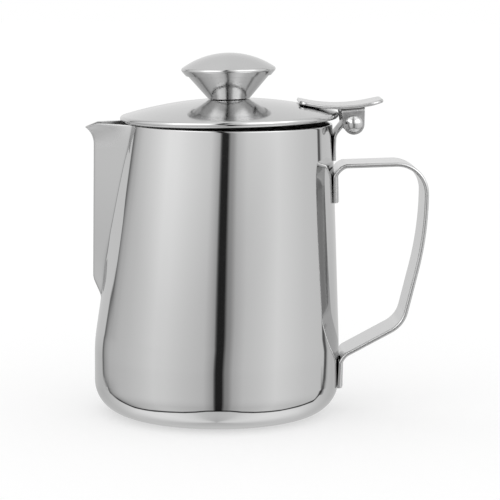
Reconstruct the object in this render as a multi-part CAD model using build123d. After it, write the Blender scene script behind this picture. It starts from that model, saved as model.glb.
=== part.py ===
"""Hot milk jug with a hinged lid: drawn steel body, pressed spout, strap handle, thumb lever and knob.

Millimetres. The origin is the centre of the base on the surface that the jug stands on. +Z is up, +X points
to the handle and -X to the spout. The jug is the same on both sides of the plane Y = 0.
"""
from build123d import *
import os
from math import acos, asin, atan2, cos, degrees, hypot, radians, sin, sqrt, tan

os.makedirs("parts", exist_ok=True)

# Body: a drawn cup that leans in from the spout side more than from the handle side
base_radius = 41.0
base_corner_radius = 10.6
lean_start_height = 23.6
lean_blend_radius = 60.0
rim_height = 96.8
mouth_draw_in = 6.8
mouth_shift = 3.8
body_sheet = 0.8

# Spout: a V pressed out of the wall, with a drooping drip lip at its nose
spout_proud = 0.15
spout_foot_proud = 0.5
spout_half_angle = 38.0
spout_nose_radius = 2.8
spout_foot_height = 45.5
spout_foot_slope = 20.0
spout_root_depth = 16.0
spout_crease_radius = 2.5
lip_start_below_rim = 7.0
lip_flare_radius = 6.6
lip_flare_angle = 56.0
lip_droop_length = 0.8
lip_droop_angle = 19.0

# Handle: a bent steel strap with both ends spot-welded flat on the wall
handle_width = 18.7
handle_sheet = 1.4
handle_edge_radius = 0.6
handle_reach = 28.0
handle_top_below_rim = 13.6
handle_top_rise = 1.1
handle_upper_flange = 12.1
handle_waist_height = 60.8
handle_elbow_height = 30.4
handle_elbow_reach = 20.7
handle_root_height = 19.5
handle_lower_flange = 10.6
handle_bend_radius = 9.9
handle_waist_radius = 110.0
handle_root_radius = 3.6
weld_gap = 0.05

# Lid: a shallow dome with a rolled edge that overhangs the mouth, resting a little higher at the hinge
lid_overhang = 2.0
lid_sheet = 0.8
lid_roll_radius = 1.05
lid_roll_turn = 190.0
lid_crown_height = 7.05
lid_rest_gap = 0.25
lid_rest_tilt = 1.4

# Hinge: a rolled strap on the wall, a rivet, and a clevis under the thumb lever
pin_beyond_lid = 4.55
pin_above_rim = 0.4
pin_radius = 1.9
pin_running_gap = 0.05
pin_fixed_gap = 0.02
rivet_head_radius = 2.9
rivet_head_height = 1.4
bracket_sheet = 0.8
bracket_width = 14.0
bracket_flange = 8.5
bracket_foot_below_rim = 11.9
bracket_bend_radius = 3.0
knuckle_turn = 275.0
clevis_sheet = 1.1
clevis_side_gap = 0.4
clevis_ear_radius = 3.5
clevis_lid_gap = 0.2
clevis_web_back = 3.6
clevis_fold_radius = 0.7

# Thumb lever: a saddle-bent plate welded on the lid and on the clevis
lever_width = 18.5
lever_sheet = 1.2
lever_saddle_radius = 51.0
lever_saddle_offset = 5.2
lever_lid_arm = 18.0
lever_thumb_arm = 9.85
lever_lid_corner = 2.5
lever_thumb_corner = 4.5

# Knob: a cap crimped on a hollow cone, held by a nut inside and a screw from under the lid
knob_neck_radius = 6.9
knob_cone_angle = 41.0
knob_cone_sheet = 0.6
knob_crimp_height = 7.6
knob_cone_height = 8.9
knob_height = 15.05
knob_cap_radius = 26.8
knob_cap_sheet = 0.45
knob_cap_edge_radius = 0.8
knob_crimp_gap = 0.02
screw_radius = 2.0
screw_gap = 0.1
screw_head_radius = 3.6
screw_head_height = 2.0
screw_end_above_nut = 0.8
nut_flats = 7.0
nut_height = 3.2
washer_radius = 5.0
washer_sheet = 0.8
washer_seat_gap = 0.1

# Helpers: small tolerances, a length beyond every piece for cuts, the mouth and two working planes
fuzz = 0.001
crease_fuzz = 0.1
beyond = 4 * base_radius
mouth_radius = base_radius - mouth_draw_in
rim_plane = Plane.XY.offset(rim_height)
side_plane = Plane.XZ


def wall_reach(height):
    """Distance of the wall's outside from the base axis on the handle side."""
    share = max(0.0, (height - lean_start_height) / (rim_height - lean_start_height))
    return base_radius + share * (mouth_radius + mouth_shift - base_radius)


def side_face(*edges):
    """Face in the upright plane of symmetry, from edges drawn as (x, z)."""
    return side_plane * make_face(edges)


def both_ways(face, width):
    """Solid of the given width, centred on the plane of symmetry."""
    return extrude(face, amount=width / 2, both=True)


def strap(path, width, sheet, edge_radius):
    """Strap swept along a path in the plane of symmetry."""
    start = Plane(origin=path @ 0, x_dir=(0, 1, 0), z_dir=path % 0)
    return sweep(start * RectangleRounded(width, sheet, edge_radius), path=path)


# Body
def cup(inset):
    """Solid of the cup, with every wall moved inwards by the inset."""
    radius = base_radius - inset
    foot = Pos(0, 0, inset) * Cylinder(
        radius, lean_start_height - inset, align=(Align.CENTER, Align.CENTER, Align.MIN)
    )
    foot = fillet(foot.edges().group_by(Axis.Z)[0], base_corner_radius - inset)
    lean = loft(
        [
            Plane.XY.offset(lean_start_height) * Circle(radius),
            rim_plane * Pos(mouth_shift, 0) * Circle(mouth_radius - inset),
        ],
        ruled=True,
    )
    whole = foot + lean
    lean_line = whole.edges().filter_by_position(Axis.Z, lean_start_height - fuzz, lean_start_height + fuzz)
    return fillet(lean_line, lean_blend_radius - inset)


def spout_section(height, reach, inset):
    """V section of the spout at one height: two flanks from the root, tangent to the rounded nose."""
    angle = radians(spout_half_angle)
    apex = spout_reach + spout_nose_radius * (1 / sin(angle) - 1)
    root = apex - spout_root_depth
    root_half = spout_root_depth * tan(angle) - inset / cos(angle)
    nose = spout_nose_radius - inset
    centre = reach - nose
    run = hypot(centre - root, root_half)
    slope = atan2(root_half, centre - root) - asin(nose / run)
    touch = (-centre - nose * sin(slope), nose * cos(slope))
    mirrored = (touch[0], -touch[1])
    outline = [
        Line((-root, root_half), touch),
        ThreePointArc(touch, (-reach, 0), mirrored),
        Line(mirrored, (-root, -root_half)),
        Line((-root, -root_half), (-root, root_half)),
    ]
    return Plane.XY.offset(height) * make_face(outline)


def spout(inset):
    """Solid of the spout, with its flanks moved inwards by the inset."""
    foot_reach = spout_reach + spout_foot_proud - inset
    trunk = loft(
        [
            spout_section(lean_start_height, foot_reach, inset),
            spout_section(lip_start, spout_reach - inset, inset),
        ],
        ruled=True,
    )
    slope = radians(spout_foot_slope)
    under_foot = Plane(
        origin=(-foot_reach, 0, spout_foot_height + inset),
        x_dir=(0, 1, 0),
        z_dir=(-cos(slope), 0, -sin(slope)),
    )
    trunk -= extrude(under_foot * Rectangle(beyond, beyond), amount=beyond)
    bend = lip_flare_radius + inset
    lip = []
    for share in (0, 1 / 3, 2 / 3, 1):
        turn = radians(lip_flare_angle * share)
        rise = bend * sin(turn)
        reach = spout_reach + lip_flare_radius - bend * cos(turn)
        lip.append(spout_section(lip_start + rise, reach, inset))
    over_rim = lip_start_below_rim + inset
    lip.append(spout_section(lip_start + over_rim, reach + (over_rim - rise) * tan(turn), inset))
    return trunk + loft(lip)


def vessel(inset):
    """Solid of the cup and spout together, with the crease between them rounded."""
    whole = cup(inset) + spout(inset)

    def is_crease(edge):
        middle = edge @ 0.5
        share = (middle.Z - lean_start_height) / (rim_height - lean_start_height)
        radius = base_radius - inset + share * (mouth_radius - base_radius)
        off_wall = hypot(middle.X - share * mouth_shift, middle.Y) - radius
        return middle.X < -radius / 2 and 0 < share < 1 - fuzz and abs(off_wall) < crease_fuzz

    return fillet(whole.edges().filter_by(is_crease), spout_crease_radius + inset)


spout_reach = base_radius + spout_proud
lip_start = rim_height - lip_start_below_rim
droop_slope = radians(lip_droop_angle)
droop_plane = Plane(
    origin=(lip_droop_length - spout_reach, 0, rim_height),
    x_dir=(0, 1, 0),
    z_dir=(-sin(droop_slope), 0, cos(droop_slope)),
)
above_lip = extrude(droop_plane * Rectangle(beyond, beyond), amount=beyond)
above_rim = extrude(rim_plane * Rectangle(beyond, beyond), amount=beyond)
jug_body = vessel(0) - vessel(body_sheet) - above_lip - above_rim

# Handle
flange_offset = weld_gap + handle_sheet / 2
handle_top = rim_height - handle_top_below_rim
handle_end = handle_top - handle_upper_flange
handle_foot = handle_root_height - handle_lower_flange
handle_path = FilletPolyline(
    (wall_reach(handle_end) + flange_offset, 0, handle_end),
    (wall_reach(handle_top) + flange_offset, 0, handle_top),
    (base_radius + handle_reach, 0, handle_top + handle_top_rise),
    (base_radius + handle_reach, 0, handle_waist_height),
    (base_radius + handle_elbow_reach, 0, handle_elbow_height),
    (base_radius + flange_offset, 0, handle_root_height),
    (base_radius + flange_offset, 0, handle_foot),
    radius=[
        handle_root_radius,
        handle_bend_radius,
        handle_waist_radius,
        handle_bend_radius,
        handle_root_radius,
    ],
)
handle = strap(handle_path, handle_width, handle_sheet, handle_edge_radius)

# Lid, drawn level about its own axis and then set down on the rim
lid_radius = mouth_radius + lid_overhang
roll_reach = lid_radius - lid_roll_radius
crown_over_roll = lid_crown_height - lid_roll_radius
dome_rise = crown_over_roll - lid_roll_radius
dome_radius = (roll_reach**2 + crown_over_roll**2 - lid_roll_radius**2) / (2 * dome_rise)
dome_centre = lid_crown_height - dome_radius
dome_half_angle = degrees(asin(roll_reach / (dome_radius - lid_roll_radius)))
rest_slope = radians(lid_rest_tilt)
roll_lowering = roll_reach * sin(rest_slope) + lid_roll_radius * (1 - cos(rest_slope))
lid_rest_height = rim_height + lid_rest_gap + roll_lowering
lid_place = Pos(mouth_shift, 0, lid_rest_height) * Rot(0, -lid_rest_tilt, 0)
roll_start = 90 - dome_half_angle
roll_centre = (roll_reach, lid_roll_radius)
dome_outside = CenterArc((0, dome_centre), dome_radius, 90, -dome_half_angle)
roll_outside = CenterArc(roll_centre, lid_roll_radius, roll_start, -lid_roll_turn)
roll_inside = CenterArc(roll_centre, lid_roll_radius - lid_sheet, roll_start, -lid_roll_turn)
dome_inside = CenterArc((0, dome_centre), dome_radius - lid_sheet, 90, -dome_half_angle)
lid_outline = [
    dome_outside,
    roll_outside,
    Line(roll_outside @ 1, roll_inside @ 1),
    roll_inside,
    dome_inside,
    Line(dome_inside @ 0, dome_outside @ 0),
]
lid = revolve(side_face(*lid_outline), axis=Axis.Z)
lid -= Cylinder(screw_radius + screw_gap, beyond)

# Knob cone, standing on the crown of the lid
cone_slope = tan(radians(knob_cone_angle))
cone_skin = knob_cone_sheet / cos(radians(knob_cone_angle))


def cone_reach(height):
    """Outside radius of the knob's cone at a height above the crown."""
    return knob_neck_radius + height * cone_slope


floor_reach = cone_reach(knob_cone_sheet) - cone_skin
knob_cone = revolve(
    side_face(
        Polyline(
            (screw_radius + screw_gap, 0),
            (knob_neck_radius, 0),
            (cone_reach(knob_cone_height), knob_cone_height),
            (cone_reach(knob_cone_height) - cone_skin, knob_cone_height),
            (floor_reach, knob_cone_sheet),
            (screw_radius + screw_gap, knob_cone_sheet),
            close=True,
        )
    ),
    axis=Axis.Z,
)


# Knob cap, crimped round the edge of the cone
def cap_outline(dome, skin):
    """Half section under the cap's dome and inside its crimp, for a dome radius and a skin over the cone."""
    crest = knob_height - knob_cap_radius
    lean = 1 + cone_slope**2
    shift = knob_neck_radius + skin + crest * cone_slope
    meet = (sqrt(lean * dome**2 - shift**2) - cone_slope * shift) / lean
    edge_reach = shift + cone_slope * meet
    foot = (cone_reach(knob_crimp_height) + skin, knob_crimp_height)
    arc = CenterArc((0, crest), dome, 90, -degrees(asin(edge_reach / dome)))
    return make_face([arc, Polyline(arc @ 1, foot, (0, knob_crimp_height), arc @ 0)])


crimp_skin = knob_cap_sheet / cos(radians(knob_cone_angle))
cap_outside = cap_outline(knob_cap_radius, knob_crimp_gap + crimp_skin)
cap_outside = fillet(cap_outside.vertices().sort_by(Axis.X)[-1], knob_cap_edge_radius)
cap_inside = cap_outline(knob_cap_radius - knob_cap_sheet, knob_crimp_gap)
knob_cap = revolve(side_plane * (cap_outside - cap_inside), axis=Axis.Z)

# Knob fixing: screw and washer under the lid, nut inside the cone
nut_corner_radius = nut_flats / 2 / cos(radians(30))
knob_nut = extrude(RegularPolygon(nut_corner_radius, 6), amount=nut_height)
knob_nut -= Cylinder(screw_radius + screw_gap, beyond)
knob_nut = Pos(0, 0, knob_cone_sheet) * knob_nut
washer_top = -lid_sheet - washer_seat_gap
washer_bottom = washer_top - washer_sheet
knob_washer = Pos(0, 0, washer_bottom) * extrude(
    Circle(washer_radius) - Circle(screw_radius + screw_gap), amount=washer_sheet
)
screw_end = knob_cone_sheet + nut_height + screw_end_above_nut
screw_head = Pos(0, 0, washer_bottom - screw_head_height) * Cylinder(
    screw_head_radius, screw_head_height, align=(Align.CENTER, Align.CENTER, Align.MIN)
)
screw_head = fillet(screw_head.edges().group_by(Axis.Z)[0], screw_head_height / 2)
screw_shank = Pos(0, 0, washer_bottom) * Cylinder(
    screw_radius, screw_end - washer_bottom, align=(Align.CENTER, Align.CENTER, Align.MIN)
)
knob_screw = screw_head + screw_shank

crown_place = lid_place * Pos(0, 0, lid_crown_height)
lid = lid_place * lid
knob_cone = crown_place * knob_cone
knob_cap = crown_place * knob_cap
knob_nut = crown_place * knob_nut
knob_washer = crown_place * knob_washer
knob_screw = crown_place * knob_screw

# Hinge pin axis
pin_x = mouth_shift + lid_radius + pin_beyond_lid
pin_z = rim_height + pin_above_rim
knuckle_bore = pin_radius + pin_running_gap
knuckle_middle = knuckle_bore + bracket_sheet / 2

# Hinge bracket: up the wall, out to the pin, and rolled over it into a knuckle
bracket_offset = weld_gap + bracket_sheet / 2
bracket_foot = rim_height - bracket_foot_below_rim
bracket_bend = bracket_foot + bracket_flange
bend_x = wall_reach(bracket_bend) + bracket_offset
to_pin = hypot(pin_x - bend_x, pin_z - bracket_bend)
pin_bearing = atan2(pin_z - bracket_bend, pin_x - bend_x)
arm_angle = pin_bearing + asin(knuckle_middle / to_pin)
arm_length = sqrt(to_pin**2 - knuckle_middle**2)
arm_end = (bend_x + arm_length * cos(arm_angle), 0, bracket_bend + arm_length * sin(arm_angle))
bracket_arm = FilletPolyline(
    (wall_reach(bracket_foot) + bracket_offset, 0, bracket_foot),
    (bend_x, 0, bracket_bend),
    arm_end,
    radius=bracket_bend_radius,
)
knuckle_arc = side_plane * CenterArc((pin_x, pin_z), knuckle_middle, degrees(arm_angle) + 90, -knuckle_turn)
bracket_path = Wire(bracket_arm.edges() + knuckle_arc.edges())
hinge_bracket = strap(bracket_path, bracket_width, bracket_sheet, bracket_sheet / 4)

# Thumb lever: let down until its saddle touches the dome of the lid
saddle_x = pin_x - lever_saddle_offset
under_radius = lever_saddle_radius + lever_sheet / 2
dome_points = []
dome_steps = 100
for step in range(dome_steps + 1):
    across = roll_reach * step / dome_steps
    height = dome_centre + sqrt(dome_radius**2 - across**2)
    point = lid_place * Pos(across, 0, height)
    dome_points.append(point.position)
lever_start = pin_x - lever_lid_arm
lever_end = pin_x + lever_thumb_arm
saddle_height = weld_gap + max(
    point.Z - under_radius + sqrt(under_radius**2 - (point.X - saddle_x) ** 2)
    for point in dome_points
    if point.X >= lever_start
)
saddle_centre = (saddle_x, saddle_height + under_radius)
start_angle = degrees(asin((lever_start - saddle_x) / lever_saddle_radius)) - 90
end_angle = degrees(asin((lever_end - saddle_x) / lever_saddle_radius)) - 90
lever_turn = end_angle - start_angle
lever_top = CenterArc(saddle_centre, lever_saddle_radius - lever_sheet / 2, start_angle, lever_turn)
lever_under = CenterArc(saddle_centre, under_radius, start_angle, lever_turn)
thumb_lever = both_ways(
    side_face(
        lever_top,
        Line(lever_top @ 1, lever_under @ 1),
        lever_under,
        Line(lever_under @ 0, lever_top @ 0),
    ),
    lever_width,
)
corner_edges = thumb_lever.edges().filter_by(GeomType.LINE).sort_by(SortBy.LENGTH)[:4].sort_by(Axis.X)
thumb_lever = fillet(corner_edges[2:], lever_thumb_corner)
corner_edges = thumb_lever.edges().filter_by(GeomType.LINE).sort_by(SortBy.LENGTH)[:6].sort_by(Axis.X)
thumb_lever = fillet(corner_edges[:2], lever_lid_corner)

# Clevis: a channel pressed to the curve of the lever, whose two ears hold the rivet
ear_inside = bracket_width / 2 + clevis_side_gap
ear_outside = ear_inside + clevis_sheet
web_radius = under_radius + weld_gap
web_start = mouth_shift + lid_radius + clevis_lid_gap
web_end = pin_x + clevis_web_back
web_start_angle = degrees(asin((web_start - saddle_x) / web_radius)) - 90
web_end_angle = degrees(asin((web_end - saddle_x) / web_radius)) - 90
web_turn = web_end_angle - web_start_angle
web_top = CenterArc(saddle_centre, web_radius, web_start_angle, web_turn)


def ear_touch(corner, side):
    """Point on the round of the ear where the straight edge from a corner of the web touches it."""
    across, up = corner.X - pin_x, corner.Y - pin_z
    slope = atan2(up, across) - side * acos(clevis_ear_radius / hypot(across, up))
    return (pin_x + clevis_ear_radius * cos(slope), pin_z + clevis_ear_radius * sin(slope))


front_touch = ear_touch(web_top @ 0, -1)
back_touch = ear_touch(web_top @ 1, 1)
clevis_side = make_face(
    [
        Line(front_touch, web_top @ 0),
        web_top,
        Line(web_top @ 1, back_touch),
        ThreePointArc(back_touch, (pin_x, pin_z - clevis_ear_radius), front_touch),
    ]
)
under_web = clevis_side - Pos(*saddle_centre) * Circle(web_radius + clevis_sheet)
rivet_hole = Pos(pin_x, pin_z) * Circle(pin_radius + pin_fixed_gap)
channel = both_ways(side_plane * (clevis_side - rivet_hole), 2 * ear_outside)
channel -= both_ways(side_plane * under_web, 2 * ear_inside)
fold_edges = channel.edges().filter_by(GeomType.CIRCLE).group_by(Axis.Y)
fold_edges = [edge for edge in fold_edges[0] + fold_edges[-1] if abs(edge.radius - web_radius) < fuzz]
hinge_clevis = fillet(fold_edges, clevis_fold_radius)

# Hinge rivet: a shank through the ears and the knuckle, with a domed head on each side
half_shank = ear_outside + pin_fixed_gap
rivet_end = half_shank + rivet_head_height
head_curve = (rivet_head_radius**2 + rivet_head_height**2) / (2 * rivet_head_height)
head_half_angle = degrees(asin(rivet_head_radius / head_curve))
half_rivet = [
    Polyline((0, 0), (pin_radius, 0), (pin_radius, half_shank), (rivet_head_radius, half_shank)),
    CenterArc((0, rivet_end - head_curve), head_curve, 90 - head_half_angle, head_half_angle),
    Line((0, rivet_end), (0, 0)),
]
rivet_half = revolve(make_face(half_rivet), axis=Axis.Y)
hinge_rivet = Pos(pin_x, 0, pin_z) * (rivet_half + mirror(rivet_half, about=Plane.XZ))

nodes = {
    "jug_body": jug_body,
    "handle": handle,
    "hinge_bracket": hinge_bracket,
    "hinge_clevis": hinge_clevis,
    "hinge_rivet": hinge_rivet,
    "thumb_lever": thumb_lever,
    "lid": lid,
    "knob_cone": knob_cone,
    "knob_cap": knob_cap,
    "knob_nut": knob_nut,
    "knob_washer": knob_washer,
    "knob_screw": knob_screw,
}
for name, shape in nodes.items():
    export_step(shape, f"parts/{name}.step")
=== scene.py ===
from math import acos, asin, atan2, cos, hypot, pi, radians, sin, sqrt, tan
import bmesh
import bpy
import numpy as np
from mathutils import Matrix, Vector


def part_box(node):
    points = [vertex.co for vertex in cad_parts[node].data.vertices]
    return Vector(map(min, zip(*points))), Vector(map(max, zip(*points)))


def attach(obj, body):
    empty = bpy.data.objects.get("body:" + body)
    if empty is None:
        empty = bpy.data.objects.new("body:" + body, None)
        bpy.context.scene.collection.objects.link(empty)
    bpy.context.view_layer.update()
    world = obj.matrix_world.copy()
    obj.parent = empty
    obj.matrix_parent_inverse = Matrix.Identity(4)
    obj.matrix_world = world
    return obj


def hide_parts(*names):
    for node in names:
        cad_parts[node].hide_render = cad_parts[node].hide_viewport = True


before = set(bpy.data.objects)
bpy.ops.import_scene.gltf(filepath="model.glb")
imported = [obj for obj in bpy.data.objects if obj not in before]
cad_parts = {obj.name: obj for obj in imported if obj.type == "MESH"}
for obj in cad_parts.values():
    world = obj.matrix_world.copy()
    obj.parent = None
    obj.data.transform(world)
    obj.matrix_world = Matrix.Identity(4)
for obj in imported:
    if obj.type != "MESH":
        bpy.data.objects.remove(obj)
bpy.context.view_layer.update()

# Body
# A cup drawn from one sheet of stainless steel, leaning in towards its mouth. The V spout, its sloping foot, its
# drooping drip lip and a flat beside each of its creases are pressed out of the wall, and all is buffed to a mirror.
MM = 0.001
base_radius = 41.0
base_corner_radius = 10.6
lean_start = 23.6
lean_blend_half = 4.3
rim_height = 96.8
mouth_radius = 34.2
mouth_shift = 3.8
body_sheet = 0.8
rim_edge_radius = 0.25
spout_reach = 41.15
spout_foot_proud = 0.5
spout_nose_radius = 2.0
spout_foot_height = 45.0
spout_foot_slope = radians(27)
spout_foot_blend = 0.7
spout_span = radians(30)
# The crease lies further round from the nose the higher it is, and it is rounder beside the foot
crease_heights = [45.0, 50.0, 55.0, 60.0, 72.0, 77.0, 81.0, 85.0, 90.0, 97.0]
crease_turns = np.radians([6.6, 7.7, 9.5, 11.1, 13.5, 14.6, 15.7, 17.0, 18.8, 20.5])
crease_blend_heights, crease_blends = [53.0, 60.0], [0.8, 0.2]
# The flat fades in above the spout's foot, and at its edge it runs out into the round wall
flat_turn = radians(23.5)
flat_heights = [46.0, 66.0, 77.7, 85.5, 90.6]
flat_edges = np.radians([26.3, 26.0, 24.2, 22.5, 20.7])
flat_low, flat_full = 40.0, 64.0
flat_start, flat_whole = radians(1), radians(7)
lip_depth = 7.0
lip_start = rim_height - lip_depth
lip_flare_radius = 6.6
lip_flare_angle = radians(56)
lip_droop_back = 0.8
lip_droop_start = lip_droop_back - spout_reach
lip_droop_angle = radians(19)


def lean_share(height):
    """Share of the way from the base's circle to the mouth's circle at a height, with a soft start."""
    start = np.clip((height - lean_start + lean_blend_half) / (2 * lean_blend_half), 0, 1)
    rise = start**2 * lean_blend_half + np.maximum(height - lean_start - lean_blend_half, 0)
    return rise / (rim_height - lean_start)


def nose_reach(height, inset):
    """Distance of the spout's nose from the base axis: a straight trunk, then the flare of the lip."""
    trunk = spout_reach + spout_foot_proud * (lip_start - height) / (lip_start - lean_start)
    bend = lip_flare_radius + inset
    rise = np.maximum(height - lip_start, 0)
    turn = np.arcsin(np.minimum(rise / bend, sin(lip_flare_angle)))
    straight = np.maximum(rise - bend * sin(lip_flare_angle), 0) * tan(lip_flare_angle)
    lip = spout_reach + lip_flare_radius - bend * np.cos(turn) + straight
    return np.where(height < lip_start, trunk - inset, lip)


def smooth(share):
    """Share of a soft step."""
    share = np.clip(share, 0, 1)
    return share**2 * (3 - 2 * share)


def wall_distance(turn, height, inset):
    """Distance from the wall's axis to the cup's skin, with the flats drawn out beside the spout."""
    cup = base_radius - inset + lean_share(height) * (mouth_radius - base_radius)
    edge = np.interp(height, flat_heights, flat_edges)
    flat = np.cos(edge - flat_turn) / np.cos(np.minimum(turn, edge) - flat_turn) - 1
    flat = flat * smooth((height - flat_low) / (flat_full - flat_low))
    flat = flat * smooth((turn - flat_start) / (flat_whole - flat_start))
    return cup * (1 + np.where(turn < edge, flat, 0))


def spout_distance(turn, height, inset):
    """Distance from the wall's axis to the spout: flanks from the creases to the nose, cut by the foot."""
    axis = -mouth_shift * lean_share(height)
    crease_turn = np.interp(height, crease_heights, crease_turns)
    crease = wall_distance(crease_turn, height, 0)
    ahead = nose_reach(height, 0) - spout_nose_radius - axis - crease * np.cos(crease_turn)
    aside = crease * np.sin(crease_turn)
    slope = np.arctan2(aside, ahead) - np.arcsin(spout_nose_radius / np.hypot(ahead, aside))
    nose = spout_nose_radius - inset
    centre = nose_reach(height, inset) - nose
    touch_out = centre + nose * np.sin(slope)
    touch_side = nose * np.cos(slope)
    flank = touch_side + (touch_out - axis) * np.tan(slope)
    flank = flank / (np.sin(turn) + np.cos(turn) * np.tan(slope))
    chord = (centre - axis) * np.sin(turn)
    round_nose = (centre - axis) * np.cos(turn) + np.sqrt(np.maximum(nose**2 - chord**2, 0))
    v_shape = np.where(turn < np.arctan2(touch_side, touch_out - axis), round_nose, flank)
    foot_reach = spout_reach + spout_foot_proud - inset
    foot = foot_reach + (height - spout_foot_height - inset) * tan(spout_foot_slope)
    foot = (foot - axis) / np.cos(turn)
    blend = np.maximum(spout_foot_blend - np.abs(v_shape - foot), 0) ** 2 / (4 * spout_foot_blend)
    return np.minimum(v_shape, foot) - blend


def wall_points(turn, height, inset):
    """Points of the wall's skin for turns measured from the spout's nose, with the crease rounded."""
    share = lean_share(height)
    cup = wall_distance(np.abs(turn), height, inset)
    near = np.clip(np.abs(turn), 0, spout_span)
    spout = np.where(np.abs(turn) < spout_span, spout_distance(near, height, inset), 0)
    blend = np.interp(height, crease_blend_heights, crease_blends)
    crease = np.maximum(blend - np.abs(cup - spout), 0) ** 2 / (4 * blend)
    reach = np.maximum(cup, spout) + crease
    return np.stack([share * mouth_shift - reach * np.cos(turn), -reach * np.sin(turn), height], axis=-1)


def lip_height(turn, inset):
    """Height of the rim, lower where the drip lip droops at the spout's nose."""
    settle_rounds = 30
    height = np.full_like(turn, rim_height)
    for _ in range(settle_rounds):
        out = wall_points(turn, height, inset)[..., 0]
        height = rim_height + np.minimum(out - lip_droop_start, 0) * tan(lip_droop_angle)
    return height - rim_edge_radius


def skin(name, rings, closed_ends=False):
    """Closed mesh over a run of rings of points. A pole is a ring of one point, and V of the UV map is the run."""
    mesh = bmesh.new()
    verts = [[mesh.verts.new(Vector(point) * MM) for point in ring] for ring in rings]
    run = {vert: place / (len(rings) - 1) for place, ring in enumerate(verts) for vert in ring}
    chart = mesh.loops.layers.uv.new("run")
    for low, high in zip(verts, verts[1:]):
        count = max(len(low), len(high))
        for step in range(count):
            quad = [low[step % len(low)], low[(step + 1) % len(low)]]
            quad += [high[(step + 1) % len(high)], high[step % len(high)]]
            mesh.faces.new(dict.fromkeys(quad))
    if closed_ends:
        mesh.faces.new(verts[0])
        mesh.faces.new(verts[-1])
    bmesh.ops.recalc_face_normals(mesh, faces=mesh.faces)
    for face in mesh.faces:
        for corner in face.loops:
            corner[chart].uv = (0, run[corner.vert])
    data = bpy.data.meshes.new(name)
    mesh.to_mesh(data)
    mesh.free()
    data.shade_smooth()
    piece = bpy.data.objects.new(name, data)
    bpy.context.scene.collection.objects.link(piece)
    return piece


spout_steps, round_steps = 88, 62
base_steps, corner_steps, wall_steps, lip_steps, edge_steps = 6, 21, 96, 19, 5
spout_turns = np.linspace(0, spout_span, spout_steps)
half_turns = np.concatenate([spout_turns, np.linspace(spout_span, pi, round_steps)[1:]])
turns = np.concatenate([half_turns, -half_turns[-2:0:-1]])


def round_ring(reach, height):
    """Ring of points at one distance from the base axis."""
    return np.stack([-reach * np.cos(turns), -reach * np.sin(turns), np.full_like(turns, height)], axis=-1)


def wall_rings(inset):
    """Rings of one side of the sheet, from the middle of the base up to the rim."""
    flat = base_radius - base_corner_radius
    rings = [[(0, 0, inset)]]
    rings += [round_ring(reach, inset) for reach in np.linspace(0, flat, base_steps)[1:]]
    corner = base_corner_radius - inset
    for angle in np.linspace(0, pi / 2, corner_steps)[1:]:
        rings.append(round_ring(flat + corner * sin(angle), base_corner_radius - corner * cos(angle)))
    top = lip_height(turns, inset)
    for height in np.linspace(base_corner_radius, lip_start, wall_steps)[1:]:
        rings.append(wall_points(turns, np.full_like(turns, height), inset))
    for share in np.linspace(0, 1, lip_steps)[1:]:
        rings.append(wall_points(turns, lip_start + share * (top - lip_start), inset))
    return rings


outside = wall_rings(0)
inside = wall_rings(body_sheet)
inside_top = inside[-1].copy()
inside_top[:, 2] = outside[-1][:, 2]
across = inside_top - outside[-1]
across *= rim_edge_radius / np.linalg.norm(across, axis=1, keepdims=True)
quarter = np.linspace(0, pi / 2, edge_steps)[1:]
rim_rings = []
for ring, way, angles in ((outside[-1], across, quarter), (inside_top, -across, quarter[::-1])):
    for angle in angles:
        rim_rings.append(ring + way * (1 - cos(angle)) + [0, 0, rim_edge_radius * sin(angle)])
drawn_body = skin("drawn_body", outside + rim_rings + inside[::-1])


def linear(code):
    """Linear colour of an sRGB hex code, with alpha."""
    parts = [int(code[place:place + 2], 16) / 255 for place in (1, 3, 5)]
    return [part / 12.92 if part <= 0.04045 else ((part + 0.055) / 1.055) ** 2.4 for part in parts] + [1.0]


def add_node(tree, kind, inputs=None, **settings):
    """Adds a node. An input takes a plain value, or the output socket that feeds it."""
    node = tree.nodes.new(kind)
    for name, value in settings.items():
        setattr(node, name, value)
    for key, value in (inputs or {}).items():
        if isinstance(value, bpy.types.NodeSocket):
            tree.links.new(value, node.inputs[key])
        else:
            node.inputs[key].default_value = value
    return node


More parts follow.
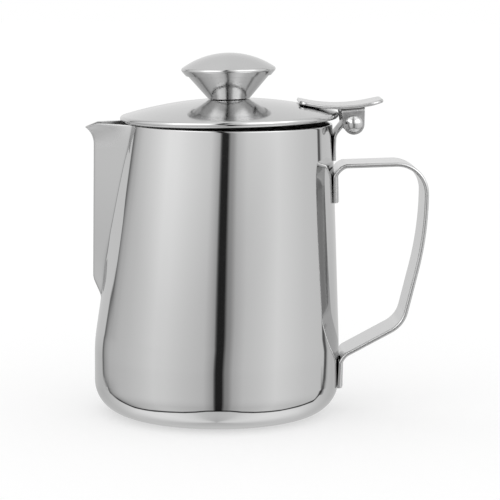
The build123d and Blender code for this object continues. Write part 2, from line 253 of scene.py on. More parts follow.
def polished_steel(name, colour, gloss, ripple, ripple_depth, half_width=None):
    """Buffed stainless steel: a slow ripple from the press and an uneven gloss, dull on a strap's sheared sides."""
    material = bpy.data.materials.new(name)
    material.use_nodes = True
    tree = material.node_tree
    shader = tree.nodes["Principled BSDF"]
    shader.inputs["Base Color"].default_value = linear(colour)
    shader.inputs["Metallic"].default_value = 1.0
    place = add_node(tree, "ShaderNodeTexCoord").outputs["Object"]
    waves = {"Vector": place, "Scale": 1 / (ripple * MM), "Detail": 1.0}
    waves = add_node(tree, "ShaderNodeTexNoise", waves).outputs["Fac"]
    bump = {"Height": waves, "Distance": ripple_depth * MM, "Strength": 1.0}
    tree.links.new(add_node(tree, "ShaderNodeBump", bump).outputs["Normal"], shader.inputs["Normal"])
    # The buffing wheel's marks are finer than this, and are drawn as coarse as they need to show
    wheel_mark = 2.5
    marks = {"Vector": place, "Scale": 1 / (wheel_mark * MM), "Detail": 3.0}
    marks = add_node(tree, "ShaderNodeTexNoise", marks).outputs["Fac"]
    rough = {"Value": marks, "From Min": 0.3, "From Max": 0.7, "To Min": gloss * 0.8, "To Max": gloss * 1.25}
    rough = add_node(tree, "ShaderNodeMapRange", rough).outputs["Result"]
    if half_width:
        sheared, side_start, side_full = 0.18, half_width - 0.5, half_width - 0.2
        across = add_node(tree, "ShaderNodeSeparateXYZ", {0: place}).outputs["Y"]
        across = add_node(tree, "ShaderNodeMath", {0: across}, operation="ABSOLUTE").outputs[0]
        side = {"Value": across, "From Min": side_start * MM, "From Max": side_full * MM, "To Max": sheared}
        side = add_node(tree, "ShaderNodeMapRange", side).outputs["Result"]
        rough = add_node(tree, "ShaderNodeMath", {0: rough, 1: side}, operation="ADD").outputs[0]
    tree.links.new(rough, shader.inputs["Roughness"])
    return material


# Sheet buffed to a mirror gives sharp light and dark bands, bent a little by the ripple that the press left
# The second grey is painted shade for the inside of the jug, not the colour of its steel
body_grey, inside_painted_shade_grey = "#C8C8C8", "#8A8A8A"
mirror_steel = polished_steel("mirror_polished_stainless_sheet", body_grey, 0.04, 26.0, 0.004)
tree = mirror_steel.node_tree
shader = tree.nodes["Principled BSDF"]
place = tree.nodes["Texture Coordinate"].outputs
buffed = shader.inputs["Roughness"].links[0].from_socket
# The drip lip is too tight for the buffing wheel, so it is duller than the wall
lip_rough = 0.45
dull_out, dull_out_full = -30.0, -36.0
dull_up, dull_up_full = 86.0, 93.0
ways = add_node(tree, "ShaderNodeSeparateXYZ", {0: place["Object"]}).outputs
out = {"Value": ways["X"], "From Min": dull_out * MM, "From Max": dull_out_full * MM}
out = add_node(tree, "ShaderNodeMapRange", out).outputs["Result"]
high = {"Value": ways["Z"], "From Min": dull_up * MM, "From Max": dull_up_full * MM, "To Max": lip_rough}
high = add_node(tree, "ShaderNodeMapRange", high).outputs["Result"]
buffed = add_node(tree, "ShaderNodeMath", {0: out, 1: high, 2: buffed}, operation="MULTIPLY_ADD").outputs[0]
# The inside is left as it was drawn, so it gives no clear reflection, and its colour is darkened as painted shade for
# the dark inside the covered jug
drawn_rough = 0.42
rim_run = len(outside) / (len(outside) + len(rim_rings) + len(inside))
drawn_and_shaded_start, drawn_and_shaded_full = rim_run + 0.026, rim_run + 0.030
run = add_node(tree, "ShaderNodeSeparateXYZ", {0: place["UV"]}).outputs["Y"]
inner = {"Value": run, "From Min": drawn_and_shaded_start, "From Max": drawn_and_shaded_full}
inner = add_node(tree, "ShaderNodeMapRange", inner).outputs["Result"]
finish = add_node(tree, "ShaderNodeMix", {0: inner, 2: buffed, 3: drawn_rough}, data_type="FLOAT")
tree.links.new(finish.outputs[0], shader.inputs["Roughness"])
# Painted shade: past the rim, the inside's colour is mixed to the darker grey
tint = {0: inner, 6: linear(body_grey), 7: linear(inside_painted_shade_grey)}
tint = add_node(tree, "ShaderNodeMix", tint, data_type="RGBA")
tree.links.new(tint.outputs[2], shader.inputs["Base Color"])
drawn_body.data.materials.append(mirror_steel)
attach(drawn_body, "jug")
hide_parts("jug_body")

# Handle
# One strap of stainless steel, its edges tumbled, bent to shape over rollers. Both ends are turned down into flanges
# that are spot-welded on the wall.
wall_gap = 0.05
handle_width = 18.7
handle_sheet = 1.4
handle_edge_radius = 0.6
handle_reach = 69.0
handle_top = rim_height - 13.6
handle_end = handle_top - 12.1
handle_root = 19.5
handle_foot = handle_root - 10.6
grip_top = handle_top + 1.1
grip_knee = 60.8
grip_foot_x, grip_foot_z = 61.7, 30.4
flange_bend, corner_bend, knee_bend = 3.6, 9.9, 110.0


def wall_reach(height):
    """Distance of the wall's outside from the base axis on the handle side."""
    share = max(0.0, (height - lean_start) / (rim_height - lean_start))
    return base_radius + share * (mouth_radius + mouth_shift - base_radius)


def size_tree(name, inputs, output):
    """New geometry tree with named inputs: the tree, the inputs' identifiers and the sockets that give them."""
    tree = bpy.data.node_groups.new(name, "GeometryNodeTree")
    sockets = {}
    for label, kind in inputs.items():
        sockets[label] = tree.interface.new_socket(label, in_out="INPUT", socket_type=kind).identifier
    tree.interface.new_socket(output, in_out="OUTPUT", socket_type="NodeSocketGeometry")
    return tree, sockets, add_node(tree, "NodeGroupInput").outputs


def bent_line(tree, line, steps):
    """Curve along a line of points, rounded at each point by its own bend radius."""
    bend = add_node(tree, "GeometryNodeInputNamedAttribute", {"Name": "bend"}, data_type="FLOAT")
    curve = add_node(tree, "GeometryNodeMeshToCurve", {"Mesh": line})
    rounding = {"Curve": curve.outputs[0], "Count": steps, "Radius": bend.outputs["Attribute"]}
    return add_node(tree, "GeometryNodeFilletCurve", rounding, mode="POLY").outputs[0]


def end_tree(tree, swept, material, output):
    """Ends a tree with smooth shading, real faces and the piece's material."""
    swept = add_node(tree, "GeometryNodeSetShadeSmooth", {"Geometry": swept})
    swept = add_node(tree, "GeometryNodeRealizeInstances", {"Geometry": swept.outputs[0]})
    swept = add_node(tree, "GeometryNodeSetMaterial", {"Geometry": swept.outputs[0], "Material": material})
    add_node(tree, "NodeGroupOutput", {output: swept.outputs[0]})


strap_inputs = {
    "Path": "NodeSocketGeometry",
    "Width": "NodeSocketFloat",
    "Sheet": "NodeSocketFloat",
    "Edge Radius": "NodeSocketFloat",
    "Bend Steps": "NodeSocketInt",
    "Material": "NodeSocketMaterial",
}
strap_tree, strap_sockets, given = size_tree("bent_strap", strap_inputs, "Strap")
edge_round_steps = 5
section = {"Width": given["Width"], "Height": given["Sheet"]}
section = add_node(strap_tree, "GeometryNodeCurvePrimitiveQuadrilateral", section)
section = {"Curve": section.outputs[0], "Count": edge_round_steps, "Radius": given["Edge Radius"]}
section = add_node(strap_tree, "GeometryNodeFilletCurve", section, mode="POLY")
path = bent_line(strap_tree, given["Path"], given["Bend Steps"])
swept = {"Curve": path, "Profile Curve": section.outputs[0], "Fill Caps": True}
swept = add_node(strap_tree, "GeometryNodeCurveToMesh", swept)
end_tree(strap_tree, swept.outputs[0], given["Material"], "Strap")


def keep_flats(piece):
    """Marks the sharp edges and lets large faces set the shading, so that flats stay flat beside rounded edges."""
    piece.data.set_sharp_from_angle(angle=radians(50))
    piece.modifiers.new("flat_faces", "WEIGHTED_NORMAL").keep_sharp = True


def grown(name, tree, sockets, points, bends, sizes, closed=False):
    """Piece that a node tree makes from a line of points, as a plain mesh with its flats kept flat."""
    merge_within = 0.0005
    line = bpy.data.meshes.new(name + "_line")
    links = [(n, n + 1) for n in range(len(points) - 1)] + [(len(points) - 1, 0)] * closed
    line.from_pydata([Vector(point) * MM for point in points], links, [])
    line.attributes.new("bend", "FLOAT", "POINT").data.foreach_set("value", [bend * MM for bend in bends])
    piece = bpy.data.objects.new(name, line)
    bpy.context.scene.collection.objects.link(piece)
    maker = piece.modifiers.new("maker", "NODES")
    maker.node_group = tree
    for label, value in sizes.items():
        maker[sockets[label]] = value
    made = bpy.data.meshes.new_from_object(piece.evaluated_get(bpy.context.evaluated_depsgraph_get()))
    piece.modifiers.remove(maker)
    tidy = bmesh.new()
    tidy.from_mesh(made)
    bmesh.ops.remove_doubles(tidy, verts=tidy.verts, dist=merge_within * MM)
    bmesh.ops.recalc_face_normals(tidy, faces=tidy.faces)
    tidy.to_mesh(made)
    tidy.free()
    piece.data = made
    keep_flats(piece)
    return piece


def hug_wall(piece, half_width, flanges):
    """Bows a strap's flanges round the wall. Each is (height where it lies flat, height where it has left)."""
    strips, flange_length, near, fade = 13, 15.0, 6.0, 3.0
    mesh = bmesh.new()
    mesh.from_mesh(piece.data)
    for place in np.linspace(-half_width, half_width, strips)[1:-1]:
        everything = mesh.verts[:] + mesh.edges[:] + mesh.faces[:]
        bmesh.ops.bisect_plane(mesh, geom=everything, plane_co=(0, place * MM, 0), plane_no=(0, 1, 0))
    for vert in mesh.verts:
        reach, across, height = vert.co / MM
        radius = base_radius + lean_share(height) * (mouth_radius - base_radius)
        for lying, left in flanges:
            held = np.clip((left - height) / (left - lying), 0, 1) * (height > lying - flange_length)
            held *= np.clip((wall_reach(height) + near - reach) / fade, 0, 1)
            vert.co.x -= smooth(held) * (radius - sqrt(radius**2 - across**2)) * MM
    mesh.to_mesh(piece.data)
    mesh.free()


# Buffed strap gives soft-edged reflections that stretch along its bends, and its sheared sides are dull
strap_steel = polished_steel("buffed_stainless_strap", "#C6C6C6", 0.10, 14.0, 0.002, handle_width / 2)
flange_offset = wall_gap + handle_sheet / 2
handle_line = [
    (wall_reach(handle_end) + flange_offset, 0, handle_end),
    (wall_reach(handle_top) + flange_offset, 0, handle_top),
    (handle_reach, 0, grip_top),
    (handle_reach, 0, grip_knee),
    (grip_foot_x, 0, grip_foot_z),
    (base_radius + flange_offset, 0, handle_root),
    (base_radius + flange_offset, 0, handle_foot),
]
handle_bends = [0, flange_bend, corner_bend, knee_bend, corner_bend, flange_bend, 0]
handle_sizes = {
    "Width": handle_width * MM,
    "Sheet": handle_sheet * MM,
    "Edge Radius": handle_edge_radius * MM,
    "Bend Steps": 24,
    "Material": strap_steel,
}
strap_handle = grown("strap_handle", strap_tree, strap_sockets, handle_line, handle_bends, handle_sizes)
handle_flanges = [(handle_top - 5, handle_top - 0.5), (handle_root - 4, handle_root + 0.5)]
hug_wall(strap_handle, handle_width / 2, handle_flanges)
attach(strap_handle, "jug")
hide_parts("handle")

# Hinge bracket
# A narrow strap of the same steel, welded on the wall under the rim, cranked outwards and rolled round the rivet
# into an open knuckle.
lid_overhang = 2.0
lid_radius = mouth_radius + lid_overhang
pin_x = mouth_shift + lid_radius + 4.55
pin_z = rim_height + 0.4
pin_radius = 1.9
running_gap = 0.05
bracket_width = 14.0
bracket_sheet = 0.8
bracket_edge_radius = 0.3
bracket_foot = rim_height - 11.9
bracket_crank = bracket_foot + 8.5
crank_bend = 3.0
knuckle_wrap = 275
knuckle_steps = 56
knuckle_radius = pin_radius + running_gap + bracket_sheet / 2
bracket_offset = wall_gap + bracket_sheet / 2
crank_x = wall_reach(bracket_crank) + bracket_offset
to_pin = hypot(pin_x - crank_x, pin_z - bracket_crank)
arm_angle = atan2(pin_z - bracket_crank, pin_x - crank_x) + asin(knuckle_radius / to_pin)
bracket_line = [(wall_reach(bracket_foot) + bracket_offset, 0, bracket_foot), (crank_x, 0, bracket_crank)]
for turn in np.radians(np.linspace(0, knuckle_wrap, knuckle_steps)):
    angle = arm_angle + pi / 2 - turn
    bracket_line.append((pin_x + knuckle_radius * cos(angle), 0, pin_z + knuckle_radius * sin(angle)))
bracket_bends = [0, crank_bend] + [0] * knuckle_steps
# Tumbling leaves a satin grey that blurs what it reflects
hinge_steel = polished_steel("tumbled_stainless_strap", "#C2C2C2", 0.32, 9.0, 0.002)
bracket_sizes = {
    "Width": bracket_width * MM,
    "Sheet": bracket_sheet * MM,
    "Edge Radius": bracket_edge_radius * MM,
    "Bend Steps": 16,
    "Material": hinge_steel,
}
rolled_bracket = grown("rolled_bracket", strap_tree, strap_sockets, bracket_line, bracket_bends, bracket_sizes)
hug_wall(rolled_bracket, bracket_width / 2, [(bracket_crank - 4, bracket_crank)])
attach(rolled_bracket, "jug")
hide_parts("hinge_bracket")

# Lid
# A shallow dome spun from the body's sheet, with its edge rolled under into a bead that overhangs the rim. It rests
# a little higher at the hinge.
turned_inputs = {
    "Outline": "NodeSocketGeometry",
    "Rail Radius": "NodeSocketFloat",
    "Segments": "NodeSocketInt",
    "Bend Steps": "NodeSocketInt",
    "Material": "NodeSocketMaterial",
}
turned_tree, turned_sockets, given = size_tree("turned_sheet", turned_inputs, "Turned")
rail = {"Resolution": given["Segments"], "Radius": given["Rail Radius"]}
rail = add_node(turned_tree, "GeometryNodeCurvePrimitiveCircle", rail)
outline = bent_line(turned_tree, given["Outline"], given["Bend Steps"])
swept = {"Curve": rail.outputs[0], "Profile Curve": outline}
swept = add_node(turned_tree, "GeometryNodeCurveToMesh", swept)
end_tree(turned_tree, swept.outputs[0], given["Material"], "Turned")
rail_radius = 1.0


def arc(centre, radius, start, end, steps):
    """Points (reach, height) on an arc between two angles from level."""
    angles = np.linspace(start, end, steps)
    return [(centre[0] + radius * cos(angle), centre[1] + radius * sin(angle)) for angle in angles]


def turned(name, outline, place, segments, material, closed=True):
    """Turned piece from its half section: points (reach, height), or (reach, height, edge radius)."""
    points = [(point[0] - rail_radius, -point[1], 0) for point in outline]
    bends = [point[2] if len(point) > 2 else 0 for point in outline]
    sizes = {"Rail Radius": rail_radius * MM, "Segments": segments, "Bend Steps": 6, "Material": material}
    piece = grown(name, turned_tree, turned_sockets, points, bends, sizes, closed)
    piece.data.transform(place)
    return piece


lid_sheet = 0.8
lid_crown = 7.05
lid_roll = 1.05
lid_roll_wrap = radians(190)
lid_rest_gap = 0.25
lid_tilt = radians(1.4)
screw_hole = 2.1
roll_reach = lid_radius - lid_roll
over_roll = lid_crown - lid_roll
dome_radius = (roll_reach**2 + over_roll**2 - lid_roll**2) / (2 * (over_roll - lid_roll))
dome_centre = (0, lid_crown - dome_radius)
dome_start = pi / 2 - asin(screw_hole / dome_radius)
dome_edge = pi / 2 - asin(roll_reach / (dome_radius - lid_roll))
roll_end = dome_edge - lid_roll_wrap
roll_centre = (roll_reach, lid_roll)
lid_height = rim_height + lid_rest_gap + roll_reach * sin(lid_tilt) + lid_roll * (1 - cos(lid_tilt))
lid_place = Matrix.Translation(Vector((mouth_shift, 0, lid_height)) * MM) @ Matrix.Rotation(-lid_tilt, 4, "Y")
lid_outline = (
    arc(dome_centre, dome_radius, dome_start, dome_edge, steps=60)
    + arc(roll_centre, lid_roll, dome_edge, roll_end, steps=48)[1:]
    + arc(roll_centre, lid_roll - lid_sheet, roll_end, dome_edge, steps=32)
    + arc(dome_centre, dome_radius - lid_sheet, dome_edge, dome_start, steps=60)[1:]
)
# Sheet polished as it spins is bright, with reflections a little softer than the body's
spun_steel = polished_steel("spun_stainless_sheet", "#C8C8C8", 0.11, 20.0, 0.003)
domed_lid = turned("domed_lid", lid_outline, lid_place, 192, spun_steel)
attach(domed_lid, "lid")
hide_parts("lid")

# Knob
# A hollow cone spun from thin sheet, standing on the crown of the lid, and a domed cap whose edge is crimped round
# the top of the cone. Both are polished.
crown_place = lid_place @ Matrix.Translation((0, 0, lid_crown * MM))
knob_segments = 128
neck = 6.9
cone_angle = radians(41)
cone_slope = tan(cone_angle)
cone_stretch = 1 / cos(cone_angle)
cone_sheet = 0.6
cone_skin = cone_sheet * cone_stretch
cone_height = 8.9
foot_round, rim_round = 0.2, 0.1
cone_rim = neck + cone_height * cone_slope
cone_outline = [
    (screw_hole, 0),
    (neck, 0, foot_round),
    (cone_rim, cone_height, rim_round),
    (cone_rim - cone_skin, cone_height, rim_round),
    (neck + cone_sheet * cone_slope - cone_skin, cone_sheet, foot_round),
    (screw_hole, cone_sheet),
]
spun_cone = turned("spun_knob_cone", cone_outline, crown_place, knob_segments, spun_steel)
cap_dome = 26.8
cap_sheet = 0.45
cap_round, cap_inner_round, crimp_round = 0.8, 0.35, 0.15
crimp_gap = 0.02
crimp_height = 7.6
knob_height = 15.05


def cap_side(dome, skin):
    """Dome points from the middle of the cap to its edge, and the foot of the crimp, for a skin over the cone."""
    crest = knob_height - cap_dome
    lean = 1 + cone_slope**2
    shift = neck + skin + crest * cone_slope
    edge = (sqrt(lean * dome**2 - shift**2) - cone_slope * shift) / lean
    end = atan2(edge, shift + cone_slope * edge)
    return arc((0, crest), dome, pi / 2, end, steps=24), (neck + crimp_height * cone_slope + skin, crimp_height)


cap_over, crimp_over = cap_side(cap_dome, crimp_gap + cap_sheet * cone_stretch)
cap_under, crimp_under = cap_side(cap_dome - cap_sheet, crimp_gap)
cap_outline = cap_over[:-1] + [(*cap_over[-1], cap_round)]
cap_outline += [(*crimp_over, crimp_round), (*crimp_under, crimp_round)]
cap_outline += [(*cap_under[-1], cap_inner_round)] + cap_under[-2::-1]
spun_cap = turned("spun_knob_cap", cap_outline, crown_place, knob_segments, spun_steel, closed=False)
for piece, node in ((spun_cone, "knob_cone"), (spun_cap, "knob_cap")):
    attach(piece, "lid")
    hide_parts(node)

# Knob fixing
# A pan-head screw and a washer under the lid, and a plain nut inside the cone, all turned from stainless bar and left
# as cut. They clamp the knob on the crown of the lid.
washer_gap = 0.1
washer_sheet = 0.8
washer_radius = 5.0
washer_round = 0.15
nut_height = 3.2
screw_radius = 2.0
screw_proud = 0.8
screw_head_radius = 3.6
screw_head_depth = 2.0
fixing_segments = 64
# Bar left as cut from the lathe is a plain satin grey
fastener_steel = polished_steel("turned_stainless_bar", "#BDBDBE", 0.25, 4.0, 0.002)
washer_top = -lid_sheet - washer_gap
washer_under = washer_top - washer_sheet
washer_outline = [
    (screw_hole, washer_top),
    (washer_radius, washer_top, washer_round),
    (washer_radius, washer_under, washer_round),
    (screw_hole, washer_under),
]
washer = turned("pressed_washer", washer_outline, crown_place, fixing_segments, fastener_steel)
head_under = washer_under - screw_head_depth
screw_end = cone_sheet + nut_height + screw_proud
screw_outline = [
    (0, screw_end),
    (screw_radius, screw_end, 0.3),
    (screw_radius, washer_under),
    (screw_head_radius, washer_under, 0.1),
    (screw_head_radius, head_under, 1.0),
    (0, head_under),
]
screw = turned("pan_head_screw", screw_outline, crown_place, fixing_segments, fastener_steel, closed=False)
for piece, node in ((washer, "knob_washer"), (screw, "knob_screw")):
    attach(piece, "lid")
    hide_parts(node)
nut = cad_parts["knob_nut"]
nut.material_slots[0].material = fastener_steel

# Thumb lever
# A plate of strap steel bent into a saddle. It is welded on the lid's edge and on the clevis, and its free end, with
# larger corners, is pressed by the thumb.
lever_width = 18.5
lever_sheet = 1.2
lever_edge = 0.55
lever_curve = 51.0
lid_corner, thumb_corner = 2.5, 4.5
lever_end_run = 6.0
end_steps, middle_steps = 16, 30
saddle_x = pin_x - 5.2
saddle_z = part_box("thumb_lever")[0][2] / MM + lever_sheet / 2 + lever_curve
lever_start = asin((pin_x - 18.0 - saddle_x) / lever_curve)
lever_end = asin((pin_x + 9.85 - saddle_x) / lever_curve)


def rounded_loop(half_width, half_sheet, radius):
    """Points (across, through) round a strap's section with rounded edges."""
    loop = []
    for side, face, start in ((1, 1, 0), (-1, 1, pi / 2), (-1, -1, pi), (1, -1, 3 * pi / 2)):
        centre = (side * (half_width - radius), face * (half_sheet - radius))
        loop += arc(centre, radius, start, start + pi / 2, steps=5)
    return loop


def inside_corner(depth, radius):
    """How far a rounded corner holds the outline back, at a depth from the end."""
    reach = np.clip(radius - depth, 0, radius)
    return radius - sqrt(radius**2 - reach**2)


length = lever_curve * (lever_end - lever_start)
ease = (1 - np.cos(np.linspace(0, pi / 2, end_steps))) * lever_end_run
middle = np.linspace(lever_end_run, length - lever_end_run, middle_steps)[1:-1]
lever_rings = []
for along in np.concatenate([ease, middle, length - ease[::-1]]):
    hold_back = max(inside_corner(along, lid_corner), inside_corner(length - along, thumb_corner))
    thin = max(inside_corner(along, lever_edge), inside_corner(length - along, lever_edge))
    angle = lever_start + along / lever_curve
    edge_round = max(lever_edge - thin, 0.01)
    ring = []
    for side, through in rounded_loop(lever_width / 2 - hold_back, lever_sheet / 2 - thin, edge_round):
        reach = lever_curve - through
        ring.append((saddle_x + reach * sin(angle), side, saddle_z - reach * cos(angle)))
    lever_rings.append(ring)
thumb_plate = skin("thumb_plate", lever_rings, closed_ends=True)
# Buffed plate is a little softer in its gloss than the handle, with the same dull sheared sides
plate_steel = polished_steel("buffed_stainless_plate", "#C6C6C6", 0.14, 12.0, 0.002, lever_width / 2)
thumb_plate.data.materials.append(plate_steel)
keep_flats(thumb_plate)
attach(thumb_plate, "lid")
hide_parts("thumb_lever")

# Clevis
# A channel folded from tumbled sheet, pressed to the curve of the thumb lever and welded under it. Its two ears come
# down beside the knuckle and hold the rivet.
clevis_sheet = 1.1
clevis_edge = 0.25
ear_radius = 3.5
ear_gap = 0.4
ear_side = bracket_width / 2 + ear_gap + clevis_sheet / 2
fold_radius = 0.56
web_curve = lever_curve + lever_sheet / 2 + wall_gap
web_top = saddle_z - web_curve
web_front = mouth_shift + lid_radius + 0.2
web_back = pin_x + 3.6
round_end_steps, side_steps, fold_steps = 22, 8, 10


def ear_edge(height, corner_x, side):
    """X of the ear's front (side -1) or back (side 1) edge: a straight side, tangent to the round end."""
    to_corner = hypot(corner_x - pin_x, web_top - pin_z)
    bearing = atan2(web_top - pin_z, corner_x - pin_x) - side * acos(ear_radius / to_corner)
    touch_x = pin_x + ear_radius * cos(bearing)
    touch_z = pin_z + ear_radius * sin(bearing)
    if height < touch_z:
        return pin_x + side * sqrt(max(ear_radius**2 - (height - pin_z) ** 2, 0))
    return touch_x + (corner_x - touch_x) * (height - touch_z) / (web_top - touch_z)


ear_low = pin_z - ear_radius
ear_tip = 0.06
fold_z = web_top - clevis_sheet / 2 - fold_radius
half_path = []
for angle in np.linspace(ear_tip, pi / 2, round_end_steps):
    half_path.append((ear_side, ear_low + ear_radius * (1 - cos(angle)), 0))
for height in np.linspace(pin_z, fold_z, side_steps)[1:]:
    half_path.append((ear_side, height, 0))
for angle in np.linspace(0, pi / 2, fold_steps)[1:]:
    half_path.append((ear_side - fold_radius * (1 - cos(angle)), fold_z + fold_radius * sin(angle), angle))
far_half = [(-side, height, pi - angle) for side, height, angle in half_path[::-1]]
clevis_rings = []
for side, height, angle in half_path + far_half:
    front = ear_edge(height, web_front, -1)
    back = ear_edge(height, web_back, 1)
    ring = []
    for along, through in rounded_loop((back - front) / 2, clevis_sheet / 2, min(clevis_edge, (back - front) / 4)):
        place = (front + back) / 2 + along
        bow = web_curve - sqrt(web_curve**2 - (place - saddle_x) ** 2)
        bow *= min(max((height - pin_z) / (fold_z - pin_z), 0), 1)
        ring.append((place, side + through * cos(angle), height + through * sin(angle) + bow))
    clevis_rings.append(ring)
folded_clevis = skin("folded_clevis", clevis_rings, closed_ends=True)
folded_clevis.data.materials.append(hinge_steel)
keep_flats(folded_clevis)
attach(folded_clevis, "lid")
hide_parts("hinge_clevis")

# Rivet
# A solid stainless rivet through both ears of the clevis and the bracket's knuckle. Each end is set cold into
# a polished dome, and the lid swings on it.
head_gap = 0.02
shank_half = ear_side + clevis_sheet / 2 + head_gap
head_radius = 2.9
head_height = 1.4
head_curve = (head_radius**2 + head_height**2) / (2 * head_height)
head_edge = pi / 2 - asin(head_radius / head_curve)
head = arc((0, shank_half + head_height - head_curve), head_curve, pi / 2, head_edge, steps=16)
half_rivet = head + [(pin_radius, shank_half)]
rivet_outline = half_rivet + [(reach, -height) for reach, height in half_rivet[::-1]]
rivet_place = Matrix.Translation(Vector((pin_x, 0, pin_z)) * MM) @ Matrix.Rotation(-pi / 2, 4, "X")
# A cold-set head is burnished by the tool, and shows one soft highlight
rivet_steel = polished_steel("set_stainless_rivet", "#C6C6C6", 0.19, 3.0, 0.002)
rivet = turned("domed_rivet", rivet_outline, rivet_place, 64, rivet_steel, closed=False)
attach(rivet, "lid")
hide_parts("hinge_rivet")

# Floor
# A wide sheet of matt white paper that the jug stands on. It is lifted to white for the camera alone, so that it runs
# into the background and keeps the jug's shadow.
floor_half = 4.0
floor_lift = 0.46
floor_mesh = bpy.data.meshes.new("floor")
corners = [(-1, -1), (1, -1), (1, 1), (-1, 1)]
floor_mesh.from_pydata([(x * floor_half, y * floor_half, 0) for x, y in corners], [], [(0, 1, 2, 3)])
floor = bpy.data.objects.new("floor", floor_mesh)
bpy.context.scene.collection.objects.link(floor)
# Paper has no gloss, and takes a soft shadow
paper = bpy.data.materials.new("matt_white_paper")
paper.use_nodes = True
paper_shader = paper.node_tree.nodes["Principled BSDF"]
paper_shader.inputs["Base Color"].default_value = linear("#C4C4C4")
paper_shader.inputs["Roughness"].default_value = 0.9
paper_shader.inputs["Specular IOR Level"].default_value = 0.0
paper_shader.inputs["Emission Color"].default_value = linear("#FFFFFF")
seen = add_node(paper.node_tree, "ShaderNodeLightPath").outputs["Is Camera Ray"]
lift = add_node(paper.node_tree, "ShaderNodeMath", {0: seen, 1: floor_lift}, operation="MULTIPLY")
paper.node_tree.links.new(lift.outputs[0], paper_shader.inputs["Emission Strength"])
floor_mesh.materials.append(paper)
floor.visible_glossy = False

# Light
# A tent of two wide white panels beside the camera, with a narrow gap for the lens between them and thin gaps at
# their outer and lower edges, a lamp over each panel, a white sweep behind the jug and a white table. Only the steel
# sees its parts, and everything else gets even white light.
tent = bpy.data.worlds.new("light_tent")
bpy.context.scene.world = tent
tent.use_nodes = True
tree = tent.node_tree


def graded(value, stops):
    """Light level that changes with a value, through stops of (value, level)."""
    low, high = stops[0][0], stops[-1][0]
    place = {"Value": value, "From Min": low, "From Max": high}
    place = add_node(tree, "ShaderNodeMapRange", place).outputs["Result"]
    ramp = add_node(tree, "ShaderNodeValToRGB", {"Fac": place})
    ends = ramp.color_ramp.elements
    ends[0].color = [stops[0][1]] * 3 + [1]
    ends[1].color = [stops[-1][1]] * 3 + [1]
    for at, level in stops[1:-1]:
        ends.new((at - low) / (high - low)).color = [level] * 3 + [1]
    return ramp.outputs["Color"]


# Where a reflected ray goes, in degrees: its turn from the camera's side, its turn to either side, and its rise
look = add_node(tree, "ShaderNodeTexCoord").outputs["Generated"]
ways = add_node(tree, "ShaderNodeSeparateXYZ", {0: look}).outputs
towards = add_node(tree, "ShaderNodeMath", {0: ways["Y"], 1: -1.0}, operation="MULTIPLY").outputs[0]
turn = add_node(tree, "ShaderNodeMath", {0: ways["X"], 1: towards}, operation="ARCTAN2").outputs[0]
turn = add_node(tree, "ShaderNodeMath", {0: turn}, operation="DEGREES").outputs[0]
aside = add_node(tree, "ShaderNodeMath", {0: turn}, operation="ABSOLUTE").outputs[0]
rise = add_node(tree, "ShaderNodeMath", {0: ways["Z"]}, operation="ARCSINE").outputs[0]
rise = add_node(tree, "ShaderNodeMath", {0: rise}, operation="DEGREES").outputs[0]
# The panels and the gap for the lens, which leans to one side as it goes up
lean = graded(rise, [(-10, 0.8), (0, 0.2), (12, 13.0)])
leaning_turn = add_node(tree, "ShaderNodeMath", {0: turn, 1: lean}, operation="ADD").outputs[0]
panels = graded(
    leaning_turn,
    [
        (-180, 0.74), (-132, 0.78), (-128, 0.70), (-114, 0.69), (-95, 0.76), (-78, 0.85), (-62, 0.96), (-50, 0.94),
        (-32, 0.83), (-13, 0.73), (-7.2, 0.56), (-3.6, 0.43), (-2.5, 0.022), (5.0, 0.022), (6.2, 0.3), (10, 0.38),
        (14, 0.60), (24, 0.78), (40, 0.88), (56, 1.01), (68, 0.96), (90, 0.85), (111, 0.8), (125, 0.76), (180, 0.74),
    ],
)
panel_height = graded(
    rise,
    [
        (-29, 0.80), (-9, 0.95), (-4, 0.955), (0, 0.955), (2, 0.98), (4, 1.08), (6, 1.17), (36, 1.16), (60, 1.24),
        (90, 1.2),
    ],
)
# The gap at each panel's outer edge, which bends round low down to meet the gap at the lower edge
left_bend = graded(
    rise,
    [
        (-37.5, 3.2), (-30, 9.3), (-22.8, 16.0), (-17.4, 21.2), (-11.8, 24.6), (-11.6, 29.7), (-11.5, 33.8),
        (-11.4, 35.8), (-11.2, 36.8), (-7.7, 36.5), (-5, 35.5), (-3.1, 33.0), (-2.3, 30.0),
    ],
)
left_turn = add_node(tree, "ShaderNodeMath", {0: turn, 1: left_bend}, operation="ADD").outputs[0]
left_gap = graded(
    left_turn,
    [
        (-110, 1.0), (-101.2, 1.0), (-99.6, 0.25), (-98.2, 0.27), (-97, 0.42), (-95, 0.6), (-92.5, 0.75),
        (-88, 0.87), (-82, 0.97), (-76, 1.0),
    ],
)
right_bend = graded(
    rise,
    [
        (-24.5, 16.3), (-18.8, 15.7), (-12.5, 14.4), (-11.7, 10.6), (-11.5, 7.6), (-11.1, 6.3), (-9.4, 6.3),
        (-7.5, 10.0), (0, 13.5), (4, 19.0),
    ],
)
right_turn = add_node(tree, "ShaderNodeMath", {0: turn, 1: right_bend}, operation="ADD").outputs[0]
right_gap = graded(
    right_turn,
    [(120, 1.0), (124.5, 1.0), (126.3, 0.16), (129.3, 0.16), (132, 0.8), (136, 1.0)],
)
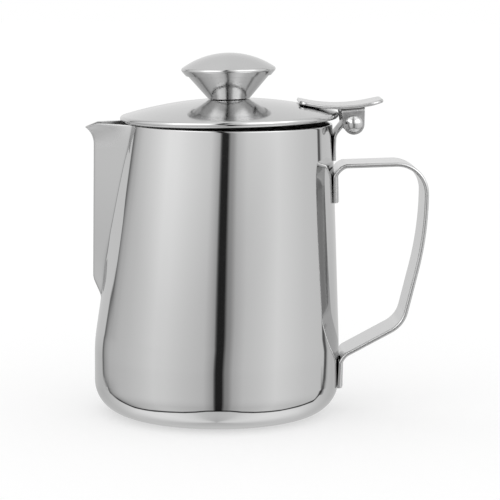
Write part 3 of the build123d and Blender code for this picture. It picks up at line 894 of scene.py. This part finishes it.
# A lamp over each panel, and the sweep behind the jug, darker where it turns up from the table and at its top
lamp_height = graded(rise, [(9, 0.0), (15, 1.6), (32, 1.6), (42, 0.15), (70, 0.15), (80, 0.0)])
lamp_side = graded(aside, [(10, 0.0), (24, 1.0), (58, 1.0), (80, 0.0)])
lamps = {0: lamp_height, 1: lamp_side, 2: 1.0}
lamps = add_node(tree, "ShaderNodeMath", lamps, operation="MULTIPLY_ADD").outputs[0]
behind = graded(aside, [(122, 0.0), (138, 1.0)])
sweep = graded(rise, [(-10, 0.16), (-3, 0.0), (0, 0.0), (8, 0.11)])
sweep = add_node(tree, "ShaderNodeMath", {0: behind, 1: sweep}, operation="MULTIPLY").outputs[0]
sweep = add_node(tree, "ShaderNodeMath", {0: 1.0, 1: sweep}, operation="SUBTRACT").outputs[0]
upper = panels
for share in (left_gap, right_gap, panel_height, lamps, sweep):
    upper = add_node(tree, "ShaderNodeMath", {0: upper, 1: share}, operation="MULTIPLY").outputs[0]
# The table, darker in front of the jug and behind it, and under the jug
table = graded(
    aside,
    [
        (0, 0.67), (14, 0.72), (22, 0.78), (36, 0.93), (50, 1.0), (73, 1.07), (105, 1.02), (118, 0.93), (129, 0.84),
        (140, 0.75), (158, 0.70), (180, 0.70),
    ],
)
table_depth = graded(rise, [(-90, 0.85), (-60, 1.0), (-46, 1.0), (-38, 0.9), (-20, 0.78)])
table = add_node(tree, "ShaderNodeMath", {0: table, 1: table_depth}, operation="MULTIPLY").outputs[0]
# The panels' lower edge over the table, bowed round the jug, with a dark gap along it
edge_bow = graded(
    turn,
    [
        (-180, 36.0), (-124.7, 36.0), (-121.3, 32.6), (-116, 27.2), (-109.4, 19.9), (-103.3, 12.5), (-92, 7.5),
        (-80.6, 4.5), (-60, 2.5), (-40, 2.3), (-25, 5.0), (-12, 9.5), (0, 10.0), (13.5, 9.6), (27, 5.0), (42.8, 2.9),
        (60, 4.0), (75.3, 7.1), (96.2, 16.7), (106, 22.5), (111.5, 25.5), (112.1, 31.2), (113.4, 36.0), (180, 36.0),
    ],
)
edge = add_node(tree, "ShaderNodeMath", {0: rise, 1: edge_bow}, operation="SUBTRACT").outputs[0]
over_edge = graded(edge, [(-51, 0.0), (-49, 1.0)])
level = add_node(tree, "ShaderNodeMix", {0: over_edge, 2: table, 3: upper}, data_type="FLOAT").outputs[0]
edge_gap = graded(edge, [(-53.5, 0.0), (-52, 0.92), (-48.5, 0.92), (-47, 0.0)])
edge_ends = graded(aside, [(114, 1.0), (121, 0.0)])
edge_gap = add_node(tree, "ShaderNodeMath", {0: edge_gap, 1: edge_ends}, operation="MULTIPLY").outputs[0]
edge_gap = add_node(tree, "ShaderNodeMath", {0: 1.0, 1: edge_gap}, operation="SUBTRACT").outputs[0]
tent_level = 1.12
for share in (edge_gap, tent_level):
    level = add_node(tree, "ShaderNodeMath", {0: level, 1: share}, operation="MULTIPLY").outputs[0]
glossy = add_node(tree, "ShaderNodeLightPath").outputs["Is Glossy Ray"]
light = add_node(tree, "ShaderNodeMix", {0: glossy, 2: 1.0, 3: level}, data_type="FLOAT").outputs[0]
tree.links.new(light, tree.nodes["Background"].inputs["Strength"])
tree.nodes["Background"].inputs["Color"].default_value = linear("#FFFFFF")
bpy.context.scene.view_settings.view_transform = "Standard"

# Camera
# A long lens a little above the rim, on the jug's side, where the photograph was taken from. It looks slightly down,
# and it is rolled by less than half a degree.
lens_place = Vector((-15.28, -699.44, 152.57)) * MM
yaw = radians(2.147)
pitch = radians(8.001)
roll = radians(0.395)
forward = Vector((sin(yaw) * cos(pitch), cos(yaw) * cos(pitch), -sin(pitch)))
level_right = forward.cross(Vector((0, 0, 1))).normalized()
level_up = level_right.cross(forward)
right = cos(roll) * level_right + sin(roll) * level_up
up = cos(roll) * level_up - sin(roll) * level_right
camera = bpy.data.objects.new("camera", bpy.data.cameras.new("camera"))
camera.data.lens = 152.0
camera.data.sensor_width = 36.0
camera.data.clip_start = 0.01
camera.matrix_world = Matrix.Translation(lens_place) @ Matrix((right, up, -forward)).transposed().to_4x4()
bpy.context.scene.collection.objects.link(camera)
bpy.context.scene.camera = camera
